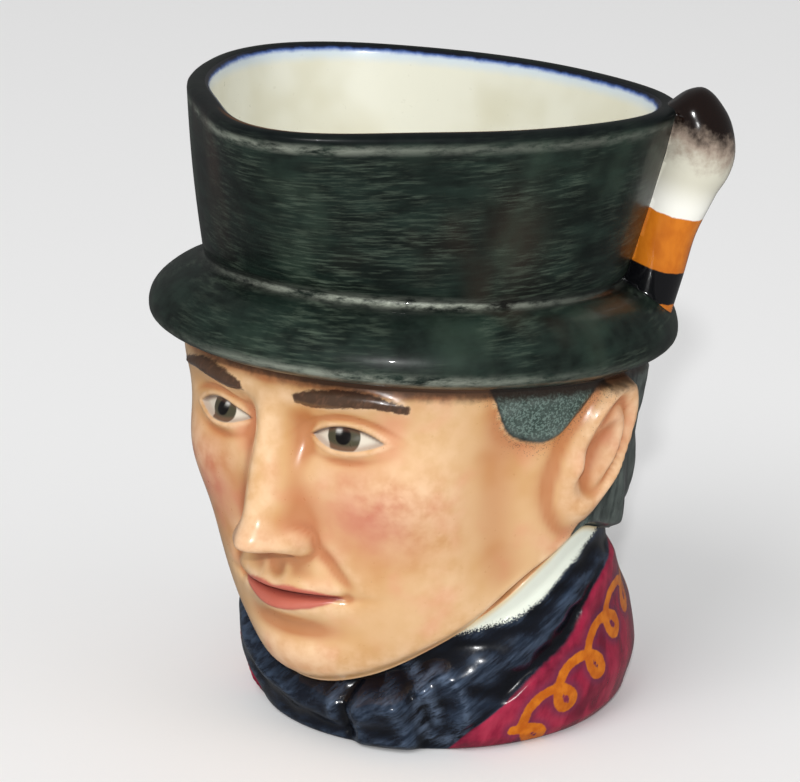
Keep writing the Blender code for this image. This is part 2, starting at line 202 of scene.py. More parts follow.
face = {
    "eyeLevel": 1.768, "eyeHalf": 0.47, "upperLid": 0.088, "lowerLid": 0.058, "lidSpan": 0.55,
    "iris": 2.3, "irisSide": 0.98, "irisRise": 0.026, "sparkSide": 0.92, "sparkRise": 0.058,
    "mouth": 0.68, "mouthHalf": 0.82, "upperLip": 0.085, "lowerLip": 0.10, "brow": 2.02,
    "browHalf": 1.35, "browRise": 0.045, "browDroop": 0.03, "browStart": 0.40, "browEnd": 1.72,
}
nose = {"root": 0.9, "reach": 6.4, "slope": 1.25, "half": 0.19, "flank": 2.2}
broadForms = {
    "brow ridge": (1.2, 0.95, 0.8, 2.04, 0.14),
    "socket": (-2.4, 0.95, 0.62, 1.80, 0.19),
    "inner socket": (-1.4, 0.46, 0.2, 1.78, 0.17),
    "eyeball": (1.7, 1.0, 0.44, 1.76, 0.12),
    "tip of the nose": (1.1, 0, 0.28, 1.11, 0.09),
    "wing of the nose": (1.7, 0.38, 0.15, 1.07, 0.09),
    "cheekbone": (1.3, 1.65, 0.62, 1.42, 0.32),
    "round of the mouth": (1.7, 0, 0.9, 0.68, 0.34),
    "upper lip": (1.1, 0, 0.55, 0.76, 0.06),
    "line of the mouth": (-1.0, 0, 0.75, 0.68, 0.035),
    "lower lip": (1.3, 0, 0.45, 0.59, 0.07),
    "hollow below the lip": (-1.0, 0, 0.6, 0.42, 0.1),
    "chin": (2.3, 0, 0.8, 0.2, 0.2),
}
fineForms = {
    "front of the eyeball": (0.5, 1.0, 0.2, face["eyeLevel"], 0.07),
    "nostril": (-1.1, 0.2, 0.085, 0.985, 0.036),
    "groove above the lip": (-0.4, 0, 0.09, 0.84, 0.07),
    "sides of the groove": (0.2, 0.17, 0.06, 0.84, 0.07),
    "corner of the mouth": (-0.5, 0.87, 0.08, 0.685, 0.05),
}


def broadFace(angle, height):
    side, level = faceGrid(angle, height)
    down = np.clip(2.0 - level, 0, 1.25)
    flank = np.exp(-((side / (nose["half"] * (1 + down))) ** nose["flank"]))
    bridge = (nose["root"] + nose["reach"] * down ** nose["slope"]) * flank
    bridge = bridge * ramp(0.93, 1.07, level) * ramp(2.15, 1.85, level)
    foldSide = 0.52 + 0.48 * np.clip((1.1 - level) / 0.4, 0, 1)
    fold = 0.6 * bump(side, foldSide, 0.12) * bump(level, 0.9, 0.2)
    temple = 2.0 * bump(np.abs(angle), 60, 14) * ramp(0.2, 1, level) * ramp(2.15, 1.6, level)
    return mounds(side, level, broadForms) + bridge - fold - temple


def eyeOpening(side, level):
    # distance inside the almond between the lids
    arch = 1.0 - ((side - 1.0) / face["eyeHalf"]) ** 2
    above = face["eyeLevel"] + face["upperLid"] * arch - level
    below = level - face["eyeLevel"] + face["lowerLid"] * arch
    return third * np.minimum(above, below)


def lipShape(side, level):
    # distance inside the outline of both lips
    share = side / face["mouthHalf"]
    bow = (1 - share**2) * (1 - 0.22 * bump(side, 0, 0.11)) + 0.08 * bump(side, 0.2, 0.12)
    above = face["mouth"] + face["upperLip"] * bow - level
    below = level - face["mouth"] + face["lowerLip"] * (1 - share**2)
    return third * np.minimum(above, below)


def browShape(side, level):
    # distance inside a brow that rises a little and thins towards the temple
    rise = face["browRise"] * bump(side, 1.15, 0.5) - face["browDroop"] * ramp(1.3, 1.8, side)
    half = face["browHalf"] * (1.0 - 0.55 * ramp(0.9, 1.75, side))
    half = half * np.sqrt(ramp(0.28, 0.75, side))
    across = half - third * np.abs(level - face["brow"] - rise)
    along = head["eyeWidth"] * np.minimum(side - face["browStart"], face["browEnd"] - side)
    return np.minimum(across, along)


def fineFace(angle, height):
    side, level = faceGrid(angle, height)
    eye = eyeOpening(side, level)
    arch = 1 - ((side - 1) / face["lidSpan"]) ** 2
    above = level - face["eyeLevel"] - face["upperLid"] * arch
    under = level - face["eyeLevel"] + face["lowerLid"] * arch
    wing = np.hypot((side - 0.36) / 0.22, (level - 1.07) / 0.12)
    opening = 0.6 * ramp(-0.1, 0.4, eye)
    lids = 0.3 * bump(eye, -0.45, 0.38) * bump(side, 1.0, 0.62)
    crease = 0.45 * bump(above, 0.07, 0.02) * bump(side, 1.0, 0.46)
    pouch = 0.25 * bump(under, -0.085, 0.028) * bump(side, 1.0, 0.4)
    wingLine = 0.55 * bump(wing, 1.0, 0.17) * ramp(0.3, 0.5, side)
    mouth = 0.8 * bump(level, face["mouth"], 0.018) * ramp(0.9, 0.7, side)
    lips = 0.35 * ramp(-0.2, 0.45, lipShape(side, level))
    hairs = 0.45 + 0.07 * np.sin(90 * side + 30 * level)
    brow = hairs * ramp(-0.4, 0.7, browShape(side, level))
    raised = lids + lips + brow - opening - crease - pouch - wingLine - mouth
    return raised + mounds(side, level, fineForms)


def earAcross(angle, height):
    # from the middle of the ear towards the back, and up
    across = (np.abs(angle) - ear["angle"]) * math.pi / 180 * head["radius"]
    return across - ear["slope"] * (height - ear["height"]), height - ear["height"]


def earBump(across, up, acrossPlace, acrossHalf, upPlace, upHalf):
    return bump(np.hypot((across - acrossPlace) / acrossHalf, (up - upPlace) / upHalf), 0, 0.9)


def earRelief(angle, height):
    across, up = earAcross(angle, height)
    ring = np.hypot(2 * across / ear["width"], 2 * up / ear["length"])
    cup = bump(across, -0.1 * ear["width"], 0.22 * ear["width"])
    cup = cup * bump(up, -0.06 * ear["length"], 0.26 * ear["length"])
    broad = ear["thickness"] * (ramp(1.25, 0.72, ring) - 0.85 * cup)
    upper = ramp(-8.0, -3.5, up)
    behind = ramp(-2.6, 0.4, across)
    edge = 0.75 * bump(ring, 0.86, 0.13) * upper * ramp(-4.6, -2.5, across + 0.3 * up)
    groove = 0.75 * bump(ring, 0.62, 0.1) * upper * behind
    fold = 0.5 * bump(ring, 0.42, 0.1) * ramp(-5.0, -1.0, up) * behind
    hole = 0.9 * bump(np.hypot((across + 1.1) / 2.0, (up + 1.6) / 3.2), 0, 0.8)
    flap = 0.9 * earBump(across, up, -4.1, 1.2, -1.6, 1.9)
    lobe = 0.45 * earBump(across, up, -0.8, 2.4, -8.0, 2.0)
    return broad + edge - groove + fold - hole + flap + lobe


def sideburn(angle, height):
    # distance inside the tuft of hair in front of the ear
    side = np.abs(angle)
    width = np.minimum(side - tuft["front"], tuft["back"] - side) * head["radius"] * math.pi / 180
    return np.minimum(width, 0.8 * (height - sideburnEdge(angle)))


def hairEdge(angle, height):
    # distance inside the hair: the tuft by the ear, and all behind the ear
    across, up = earAcross(angle, height)
    arch = np.sqrt(np.clip(1 - (2 * up / ear["length"]) ** 2, 0, 1))
    return np.maximum(sideburn(angle, height), across - arch * ear["width"] / 2 - 0.3)


def hairRelief(angle, height):
    side = np.abs(angle)
    locks = np.sin(np.radians(side * 15) + 90 * height / hat["rimHeight"] * 0.16)
    strands = np.sin(np.radians(side * 67) + 0.55 * height + 1.5 * locks)
    back = ramp(ear["angle"] + 8, ear["angle"] + 20, side)
    above = height - sideburnEdge(angle)
    front = ramp(54, 58, side) * ramp(90, 84, side) * ramp(-0.8, 0.8, above)
    return back * (0.7 + 0.45 * locks + 0.12 * strands) + 0.6 * front


def headPoint(angle, share):
    # share runs from 0 at the jaw's edge to 1 under the brim
    low = jawEdge(angle)
    height = low + (brimFoot(angle) - low) * share
    facing = ramp(-0.05, 0.35, np.cos(np.radians(angle)))
    carving = (broadFace(angle, height) + fineFace(angle, height)) * facing
    carving = carving + earRelief(angle, height) + hairRelief(angle, height)
    radius = headRadius(angle, height) + carving * ramp(1.0, 0.93, share)
    radius = radius - head["edgeRounding"] * bump(share, 0.0, 0.025)
    return place(angle, radius, height, lean(height))


# Bust
knot = {
    "angle": 21.0, "half": 11.0, "low": 3.5, "height": 7.0, "depth": 1.8, "pocketAngle": 39.0,
    "pocketHalf": 7.0, "pocketMiddle": 6.5, "pocketHeight": 5.0,
}
knotForms = {
    "pocket": (-0.7, 37, 4, 5.5, 4.0),
    "fold beside it": (0.6, 47, 5.5, 6.5, 4.5),
    "fold on the far side": (0.6, -42, 13, 9.0, 4.5),
}


def knotDome(angle, height):
    # 0 in the middle of the loop at the front, 1 along its edge
    rise = np.clip(height - knot["low"], 0, None)
    return np.hypot((angle - knot["angle"]) / knot["half"], rise / knot["height"])


def knotPocket(angle, height):
    across = (angle - knot["pocketAngle"]) / knot["pocketHalf"]
    return np.hypot(across, (height - knot["pocketMiddle"]) / knot["pocketHeight"])


def knotCreases(angle, height):
    # a groove and a ridge round the loop, a rim round the pocket, and small wrinkles
    dome = knotDome(angle, height)
    groove = 0.55 * bump(dome, 1.16, 0.12)
    ridge = 0.4 * bump(dome, 1.5, 0.16) * ramp(2.0, 5.0, height)
    rim = 0.35 * bump(knotPocket(angle, height), 1.0, 0.22)
    wrinkles = 0.16 * np.sin(0.34 * angle + 1.1 * height) * np.sin(0.13 * angle - 0.9 * height + 1.0)
    return ridge + rim + wrinkles - groove


def knotRelief(angle, height):
    loop = ramp(1.12, 0.6, knotDome(angle, height))
    return knot["depth"] * loop + mounds(angle, height, knotForms)


def bustPoint(angle, share):
    # share runs from 0 on the table to 1 under the jaw's edge
    top = jawEdge(angle)
    height = top * share
    side = np.abs(angle)
    tuck = bust["chinTuck"] + (bust["jawTuck"] - bust["chinTuck"]) * ramp(10, 70, side)
    tuck = tuck + (bust["napeTuck"] - bust["jawTuck"]) * ramp(95, 120, side)
    neck = headRadius(angle, top) - tuck
    fullHeight = bust["fullHeight"]
    full = ramp(0.0, fullHeight, height) - 0.25 * ramp(fullHeight, 2.2 * fullHeight, height)
    body = foot["radius"] + (bust["radius"] - foot["radius"]) * full
    radius = body + (neck - body) * ramp(0.55, 1.0, share)
    coat = ramp(0.6, -0.6, height - coatEdge(angle))
    collar = ramp(-0.5, 0.5, height - clothEdge(angle)) * ramp(42, 60, side)
    cloth = (1 - coat) * (1 - collar)
    folds = bust["foldDepth"] * np.sin((height - clothEdge(angle)) / bust["foldPitch"] * math.pi)
    raised = bust["coatRaised"] * coat - bust["collarSunk"] * collar
    raised = raised + (folds + knotCreases(angle, height)) * cloth
    radius = radius + raised * ramp(0.0, 2.0, height) * ramp(1.0, 0.86, share)
    radius = radius + knotRelief(angle, height) * ramp(1.0, 0.7, share) * ramp(-1, 1.5, height)
    low = np.clip(1 - height / foot["rounding"], 0, 1)
    radius = radius - foot["rounding"] * (1 - np.sqrt(1 - low**2))
    return place(angle, radius, height, lean(height))


# Hat
def brimRadius(angle):
    turn = np.radians(angle)
    width, length = hat["brimWidth"], hat["brimLength"]
    return width * length / np.hypot(length * np.sin(turn), width * np.cos(turn))


def underBrimPoint(angle, share):
    # share 0 at the brim's widest line and 1 where the brim meets the head
    gap = brimRadius(angle) - headRadius(angle, brimFoot(angle))
    insets = ((0, 0.0), (0.5, hat["brimRoll"]), (0.8, hat["brimUndercut"]), (1.0, hat["brimInset"]))
    inset = curve(share, *insets)
    inset = inset + (gap - hat["brimInset"]) * ramp(0.7, 1.0, share)
    height = brimEdge(angle) + (brimFoot(angle) - brimEdge(angle)) * share
    return place(angle, brimRadius(angle) - inset, height, hat["lean"])


def brimPoint(angle, share):
    # on top of the brim, share 0 at the widest line and 1 at the foot of the crown
    near = hat["crown"] + hat["fillet"]
    radius = near + (brimRadius(angle) - near) * curve(share, *hat["brimOut"])
    height = brimTop(angle) + (brimEdge(angle) - brimTop(angle)) * curve(share, *hat["brimDown"])
    return place(angle, radius, height, hat["lean"])


def filletPoint(angle, share):
    turn = share * math.pi / 2
    radius = hat["crown"] + hat["fillet"] * (1 - math.sin(turn))
    height = brimTop(angle) + hat["fillet"] * (1 - math.cos(turn))
    return place(angle, radius, height, hat["lean"])


def crownPoint(angle, share, inset=0.0):
    low = brimTop(angle)
    high = rimLevel(angle)
    height = low + (high - low) * share
    outer = openingRadius(angle) + hat["rimWall"]
    swell = hat["swell"] * np.sin(math.pi * share)
    radius = hat["crown"] + (outer - hat["crown"]) * share + swell - inset
    return place(angle, radius, height, hat["lean"])


def rimPoint(angle, share):
    turn = share * math.pi
    up = math.sin(turn) ** 0.75
    inset = hat["rimWall"] * (1 - math.cos(turn)) / 2
    return crownPoint(angle, hat["rimStart"] + (1 - hat["rimStart"]) * up, inset)


def insideRows(angle, outside):
    # the hollow keeps at least one wall from the outside, as slip settles in a mould
    rings = np.array(outside)
    heights = rings[..., 2]
    radii = np.hypot(rings[..., 0], rings[..., 1] + lean(heights))
    top = brimFoot(angle) - 1.0
    reach = len(angle) // 24
    inner = []
    levels = []
    for share in np.linspace(0.0, 1.0, skin["insideRows"]):
        height = top + (hollow["floor"] + hollow["fillet"] - top) * share
        near = np.abs(heights - height) < 3.0
        least = np.where(near, radii, 1000.0).min(axis=0)
        spread = np.min([np.roll(least, step) for step in range(-reach, reach + 1)], axis=0)
        soft = np.mean([np.roll(spread, step) for step in range(-reach, reach + 1)], axis=0)
        inner.append(np.minimum(soft, least) - hollow["wall"])
        levels.append(height)
    inner = np.array(inner)
    for _ in range(4):
        inner[1:-1] = (inner[:-2] + 2 * inner[1:-1] + inner[2:]) / 4
        inner[:, 1:-1] = (inner[:, :-2] + 2 * inner[:, 1:-1] + inner[:, 2:]) / 4
        inner[:, 0] = inner[:, -1] = (inner[:, 0] + inner[:, -1]) / 2
    rows = [place(angle, ring, level, lean(level)) for ring, level in zip(inner, levels)]
    floor, fillet = hollow["floor"], hollow["fillet"]
    for turn in np.radians([30, 60, 90]):
        radius = inner[-1] - fillet * (1 - math.cos(turn))
        rows.append(place(angle, radius, floor + fillet * (1 - math.sin(turn)), lean(floor)))
    for share in (0.8, 0.6, 0.4, 0.2, 0.05):
        rows.append(place(angle, (inner[-1] - fillet) * share, floor, lean(floor)))
    return rows


# Glazes, brushed on by hand under a clear gloss
def rgb(red, green, blue):
    # a colour as a paint chart gives it, from 0 to 255, turned into light
    shares = [value / 255 for value in (red, green, blue)]
    return (*[s / 12.92 if s <= 0.04045 else ((s + 0.055) / 1.055) ** 2.4 for s in shares], 1.0)


work = {}    # the node tree that is being built, under the name tree


def newNode(kind):
    return work["tree"].nodes.new("ShaderNode" + kind)


def plug(socket, value):
    if isinstance(value, bpy.types.NodeSocket):
        work["tree"].links.new(value, socket)
    else:
        socket.default_value = value


def painted(name):
    node = newNode("Attribute")
    node.attribute_name = name
    return node.outputs["Fac"]


def sums(operation, *values, clamp=False):
    node = newNode("Math")
    node.operation = operation
    node.use_clamp = clamp
    for socket, value in zip(node.inputs, values):
        plug(socket, value)
    return node.outputs[0]


def between(low, high, value):
    # 0 up to low, 1 from high, soft in the middle
    node = newNode("MapRange")
    node.interpolation_type = "SMOOTHSTEP"
    plug(node.inputs["Value"], value)
    plug(node.inputs["From Min"], low)
    plug(node.inputs["From Max"], high)
    return node.outputs["Result"]


def times(first, second):
    return sums("MULTIPLY", first, second)


def layer(share, under, over, strength=1.0):
    # one glaze over another where the share is high
    node = newNode("Mix")
    node.data_type = "RGBA"
    plug(node.inputs[0], share if strength == 1.0 else times(share, strength))
    plug(node.inputs[6], under)
    plug(node.inputs[7], over)
    return node.outputs[2]


def stack(paint, base, *layers):
    # layers one over another, each as its share, its colour and, where it is thinned, its strength
    for share, over, *strength in layers:
        base = layer(share, base, paint[over] if isinstance(over, str) else over, *strength)
    return base


def mottle(grain, detail=2.0, rough=0.5, stretch=(1, 1, 1), turn=(0, 0, 0), shift=0.0):
    # grain in millimetres
    mapping = newNode("Mapping")
    mapping.vector_type = "TEXTURE"    # turned first, then stretched
    plug(mapping.inputs["Scale"], [1 / amount for amount in stretch])
    plug(mapping.inputs["Rotation"], [math.radians(angle) for angle in turn])
    plug(mapping.inputs["Location"], [-shift / amount for amount in stretch])
    plug(mapping.inputs["Vector"], newNode("TexCoord").outputs["Object"])
    node = newNode("TexNoise")
    plug(node.inputs["Scale"], 1 / (grain * mm))
    plug(node.inputs["Detail"], detail)
    plug(node.inputs["Roughness"], rough)
    plug(node.inputs["Vector"], mapping.outputs["Vector"])
    return node.outputs[0]


def patches(low, high, grain, **kind):
    # soft-edged patches of a mottle, from none at low to full at high
    return between(low, high, mottle(grain, **kind))


def frayed(distance, noise, reach, less):
    # a distance whose edge breaks up into the grains of a mottle
    return sums("MULTIPLY_ADD", noise, reach, sums("SUBTRACT", distance, less))


def newGroup(name, inputs, outputs):
    group = bpy.data.node_groups.new(name, "ShaderNodeTree")
    for label, value in inputs.items():
        kind = "NodeSocketColor" if isinstance(value, tuple) else "NodeSocketFloat"
        group.interface.new_socket(label, in_out="INPUT", socket_type=kind).default_value = value
    for label, kind in outputs.items():
        group.interface.new_socket(label, in_out="OUTPUT", socket_type=kind)
    work["tree"] = group
    return group, group.nodes.new("NodeGroupInput").outputs, group.nodes.new("NodeGroupOutput").inputs


def useGroup(group, **values):
    node = newNode("Group")
    node.node_tree = group
    for label, value in values.items():
        plug(node.inputs[label], value)
    return node.outputs


def brushEdgeGroup():
    # turns a distance into a painted area whose edge wanders as a brush does
    inputs = {"Distance": 0.0, "Wander": 0.3, "Soft": 0.15}
    group, given, made = newGroup("brushEdge", inputs, {"Mask": "NodeSocketFloat"})
    drift = sums("SUBTRACT", mottle(1.6, detail=3.0, rough=0.6), 0.5)
    moved = sums("MULTIPLY_ADD", drift, given["Wander"], given["Distance"])
    low = times(given["Soft"], -1.0)
    plug(made["Mask"], between(low, given["Soft"], moved))
    return group


def speckleGroup():
    # sprayed dots, more of them where the share is high
    inputs = {"Share": 0.5}
    group, given, made = newGroup("speckle", inputs, {"Mask": "NodeSocketFloat"})
    dots = mottle(0.22, detail=1.0)
    low = sums("MULTIPLY_ADD", given["Share"], -0.55, 0.8)
    high = sums("ADD", low, 0.06)
    plug(made["Mask"], between(low, high, dots))
    return group


def poolGroup():
    # glaze runs off the ridges and pools in the hollows
    inputs = {"Colour": rgb(128, 128, 128), "Pooled": rgb(60, 60, 60), "Thin": rgb(200, 200, 200)}
    inputs.update({"Pooling": 0.6, "Thinning": 0.5})
    group, given, made = newGroup("glazePool", inputs, {"Colour": "NodeSocketColor"})
    uneven = patches(low=0.2, high=0.75, grain=2.2, detail=3.0)
    pool = times(painted("hollow"), given["Pooling"])
    thin = times(times(painted("ridge"), given["Thinning"]), uneven)
    deep = layer(pool, given["Colour"], given["Pooled"])
    plug(made["Colour"], layer(thin, deep, given["Thin"]))
    return group


def glossGroup():
    # slow waves and a fine orange peel in the clear glaze, in the height and in the shine
    outputs = {"Roughness": "NodeSocketFloat", "Height": "NodeSocketFloat"}
    group, given, made = newGroup("gloss", {"Shine": 0.09, "Waves": 1.0}, outputs)
    waves = mottle(4.5)
    peel = mottle(0.9)
    height = sums("MULTIPLY_ADD", peel, 0.16, waves)
    plug(made["Height"], times(height, given["Waves"]))
    plug(made["Roughness"], sums("MULTIPLY_ADD", peel, 0.05, given["Shine"]))
    return group


brushEdge = brushEdgeGroup()
speckle = speckleGroup()
glazePool = poolGroup()
gloss = glossGroup()


def brushed(distance, wander, soft):
    return useGroup(brushEdge, Distance=distance, Wander=wander, Soft=soft)["Mask"]


def dusted(share):
    return useGroup(speckle, Share=share)["Mask"]


def pooled(base, deep, thin, pooling, thinning):
    amounts = {"Pooling": pooling, "Thinning": thinning}
    return useGroup(glazePool, Colour=base, Pooled=deep, Thin=thin, **amounts)["Colour"]


def edged(name, low, high):
    # part of a painted distance, 0 up to low and 1 from high
    return between(low, high, painted(name))


def finishGlaze(material, base, shine=0.26, waves=1.0, coat=0.3, mirror=0.5):
    shader = material.node_tree.nodes["Principled BSDF"]
    surface = useGroup(gloss, Shine=shine, Waves=waves)
    bumps = newNode("Bump")
    plug(bumps.inputs["Strength"], 0.35)
    plug(bumps.inputs["Distance"], 0.12 * mm)
    plug(bumps.inputs["Height"], surface["Height"])
    plug(shader.inputs["Normal"], bumps.outputs["Normal"])
    plug(shader.inputs["Roughness"], surface["Roughness"])
    plug(shader.inputs["Base Color"], base)
    shader.inputs["Specular IOR Level"].default_value = mirror
    shader.inputs["Coat Weight"].default_value = coat
    shader.inputs["Coat Roughness"].default_value = 0.05
    return material


def newGlaze(name):
    material = bpy.data.materials.new(name)
    material.use_nodes = True
    work["tree"] = material.node_tree
    return material


hatPaint = {
    "ground": rgb(12, 20, 17), "stroke": rgb(25, 39, 33), "streak": rgb(98, 112, 96),
    "washed": rgb(52, 68, 56), "brown": rgb(48, 33, 26), "thin": rgb(52, 66, 58),
    "pooled": rgb(8, 12, 12), "wornAndHighlight": rgb(186, 192, 176), "top": rgb(10, 14, 17),
    "orange": rgb(150, 92, 38),
    "strokes": dict(low=0.38, high=0.7, grain=9.0, detail=4.0, rough=0.6, stretch=(1, 1, 4.0)),
    "browned": dict(low=0.54, high=0.72, grain=16.0, stretch=(1, 1, 0.7), shift=0.031),
    "washes": dict(low=0.52, high=0.72, grain=13.0, detail=3.0, rough=0.55, stretch=(1, 1, 0.8), shift=0.057),
    "streaks": dict(low=0.44, high=0.72, grain=4.0, detail=5.0, rough=0.66, stretch=(1, 1, 11)),
    "streaky": dict(low=0.4, high=0.62, grain=11.0, shift=0.013),
    "broken": dict(low=0.34, high=0.62, grain=5.0, detail=5.0, rough=0.7, stretch=(1, 1, 3)),
}


def hatGlaze():
    material = newGlaze("bottle green glaze")
    paint = hatPaint
    brown = sums("MAXIMUM", times(patches(**paint["browned"]), 0.7), painted("brownWash"))
    where = sums("MAXIMUM", times(patches(**paint["streaky"]), 0.36), painted("wiped"))
    base = stack(
        paint,
        paint["ground"],
        (patches(**paint["strokes"]), "stroke"),
        (brown, "brown"),
        (patches(**paint["washes"]), "washed", 0.5),
        (times(patches(**paint["streaks"]), where), "streak"),
    )
    base = pooled(base, paint["pooled"], paint["thin"], pooling=0.6, thinning=0.25)
    # pale lines along the brim and just below the rim; those on the brim are worn glaze with painted
    # highlight on them
    lines = [painted(name) for name in ("brimCorner", "brimRidge", "rimPaleLine")]
    wornAndHighlight = sums("MAXIMUM", sums("MAXIMUM", *lines[:2]), lines[2], clamp=True)
    base = stack(
        paint,
        base,
        (times(wornAndHighlight, patches(**paint["broken"])), "wornAndHighlight", 0.9),
        (edged("rimDepth", 1.5, 0.6), "top", 0.75),
        (painted("rimLine"), "orange"),
    )
    return finishGlaze(material, base, shine=0.34, waves=1.4, coat=0.12, mirror=0.25)


insidePaint = {
    "cream": rgb(229, 228, 213), "creamWarm": rgb(217, 214, 193), "speck": rgb(120, 116, 100),
    "halo": rgb(192, 214, 236), "cobalt": rgb(30, 84, 172), "navy": rgb(12, 15, 28),
    "warmed": dict(low=0.35, high=0.7, grain=11.0),
    # each colour with its depth below the rim, the softness of its edge and its strength
    "rim": (("halo", 1.9, 0.9, 0.6), ("cobalt", 0.85, 0.35, 0.9), ("navy", 0.55, 0.25, 1.0)),
}


def insideGlaze():
    material = newGlaze("cream glaze")
    paint = insidePaint
    base = layer(patches(**paint["warmed"]), paint["cream"], paint["creamWarm"])
    base = layer(dusted(share=0.05), base, paint["speck"], strength=0.3)
    for name, reach, soft, strength in paint["rim"]:
        below = sums("SUBTRACT", reach, painted("rimDepth"))
        base = layer(brushed(below, wander=0.5, soft=soft), base, paint[name], strength)
    base = layer(painted("rimLine"), base, hatPaint["orange"])
    return finishGlaze(material, base, waves=0.7)


facePaint = {
    "skin": rgb(218, 176, 128), "yellow": rgb(200, 146, 84), "pink": rgb(218, 138, 108),
    "blush": rgb(192, 86, 76), "pool": rgb(176, 96, 50), "thin": rgb(244, 210, 172),
    "shadow": rgb(44, 30, 22), "lips": rgb(186, 82, 74), "mouth": rgb(104, 42, 38),
    "eye": rgb(222, 212, 194), "eyeEdgeShade": rgb(150, 104, 82), "catchlight": rgb(250, 248, 240),
    "lidLine": rgb(62, 34, 26), "iris": rgb(74, 70, 52), "pupil": rgb(16, 13, 12),
    "brow": rgb(54, 31, 23), "browPale": rgb(84, 54, 40), "hair": rgb(78, 86, 82),
    "hairDark": rgb(34, 42, 40), "hairPale": rgb(120, 130, 124), "stipple": rgb(100, 120, 112),
    "stippleDark": rgb(50, 66, 60),
    "yellowed": dict(low=0.4, high=0.7, grain=9.0, shift=0.02),
    "pinked": dict(low=0.48, high=0.75, grain=7.0, shift=0.05),
    "sprayed": dict(low=-0.1, high=0.7, grain=4.0, detail=3.0),
    "strands": dict(grain=0.8, detail=3.0, rough=0.6, stretch=(1, 1, 0.35), turn=(0, 35, 0)),
    "combed": dict(low=0.35, high=0.68, grain=1.1, detail=4.0, rough=0.6, stretch=(1, 1, 0.22)),
    "dotted": dict(low=0.47, high=0.58, grain=0.33, rough=0.6),
}


def faceGlaze():
    material = newGlaze("skin and hair glaze")
    paint = facePaint
    base = stack(
        paint,
        paint["skin"],
        (patches(**paint["yellowed"]), "yellow", 0.7),
        (patches(**paint["pinked"]), "pink", 0.5),
        (times(painted("blush"), patches(**paint["sprayed"])), "blush"),
    )
    base = pooled(base, paint["pool"], paint["thin"], pooling=0.62, thinning=0.6)
    eye = brushed(painted("eye"), wander=0.1, soft=0.12)
    strands = mottle(**paint["strands"])
    brow = between(-0.15, 0.25, frayed(painted("brow"), strands, reach=1.1, less=0.5))
    dabs = layer(between(0.48, 0.7, strands), paint["brow"], paint["browPale"])
    dots = layer(patches(**paint["dotted"]), paint["stippleDark"], paint["stipple"])
    dots = layer(edged("hair", 1.0, 0.1), dots, paint["hairDark"])
    locks = layer(patches(**paint["combed"]), paint["hairDark"], paint["hair"])
    locks = layer(painted("tuft"), locks, dots)
    locks = pooled(locks, paint["hairDark"], paint["hairPale"], pooling=0.7, thinning=0.35)
    spray = times(edged("hair", -4.0, 0.6), painted("tuft"))
    below = sums("SUBTRACT", 1.5, painted("underBrim"))
    base = stack(
        paint,
        base,
        (dusted(share=0.1), "pool", 0.18),
        (brushed(painted("lips"), wander=0.4, soft=0.25), "lips", 0.85),
        (painted("mouthLine"), "mouth"),
        (painted("nostril"), "mouth"),
        (eye, "eye"),
        (times(brushed(painted("iris"), wander=0.2, soft=0.12), eye), "iris"),
        (times(edged("iris", 1.1, 1.35), eye), "pupil"),
        # painted shade round the edges of the eye's white
        (times(edged("eye", 0.9, 0.1), eye), "eyeEdgeShade", 0.45),
        (painted("catchlight"), "catchlight"),
        (painted("lidLine"), "lidLine"),
        (brow, dabs, 0.94),
        (dusted(share=times(spray, 0.5)), "stippleDark", 0.45),
        (brushed(painted("hair"), wander=0.5, soft=0.3), locks),
        (brushed(below, wander=1.6, soft=0.8), "shadow", 0.85),
    )
    return finishGlaze(material, base, waves=0.8)


dressPaint = {
    "cloth": rgb(17, 20, 29), "clothDeep": rgb(8, 9, 14), "clothStroke": rgb(38, 55, 76),
    "clothPaleAndHighlight": rgb(112, 130, 156), "collar": rgb(222, 227, 214), "collarWarm": rgb(206, 176, 118),
    "coat": rgb(142, 22, 54), "coatDark": rgb(98, 14, 40), "coatPale": rgb(174, 50, 76),
    "trim": rgb(206, 116, 20), "trimDark": rgb(184, 92, 10), "shade": rgb(84, 48, 74),
    "wrap": dict(grain=1.2, detail=5.0, rough=0.7, stretch=(0.2, 0.7, 1.5), turn=(0, -34, 55)),
    "broad": dict(low=0.45, high=0.7, grain=6.0, detail=3.0, shift=0.04),
    "spray": dict(grain=0.2, rough=0.6),
    "swept": dict(grain=3.4, detail=4.0, rough=0.55, stretch=(1, 1, 0.4), turn=(0, 24, 0)),
    "worked": dict(low=0.35, high=0.65, grain=1.8, detail=3.0),
}


def clothPart(paint):
    wrap = mottle(**paint["wrap"])
    broad = sums("MULTIPLY_ADD", patches(**paint["broad"]), 0.6, 0.35)
    strokes = times(between(0.4, 0.82, wrap), broad)
    cloth = layer(strokes, paint["cloth"], paint["clothStroke"])
    cloth = pooled(cloth, paint["clothDeep"], paint["clothStroke"], pooling=0.8, thinning=0.4)
    # pale where the glaze thins on the ridges, with painted highlights on the loop and the pocket
    light = sums("MAXIMUM", times(painted("ridge"), 0.35), painted("paintedClothHighlight"))
    paleAndHighlit = times(between(0.36, 0.7, wrap), light)
    return layer(paleAndHighlit, cloth, paint["clothPaleAndHighlight"], strength=0.6)


def coatPart(paint):
    swept = mottle(**paint["swept"])
    coat = layer(between(0.38, 0.62, swept), paint["coatDark"], paint["coat"])
    low = times(between(0.5, 0.75, swept), painted("coatLow"))
    coat = layer(low, coat, paint["coatPale"])
    coat = pooled(coat, paint["coatDark"], paint["coatPale"], pooling=0.6, thinning=0.5)
    coat = layer(edged("trim", -1.5, 0.0), coat, paint["shade"], strength=0.5)
    worked = layer(patches(**paint["worked"]), paint["trimDark"], paint["trim"])
    return layer(brushed(painted("trim"), wander=0.55, soft=0.14), coat, worked)


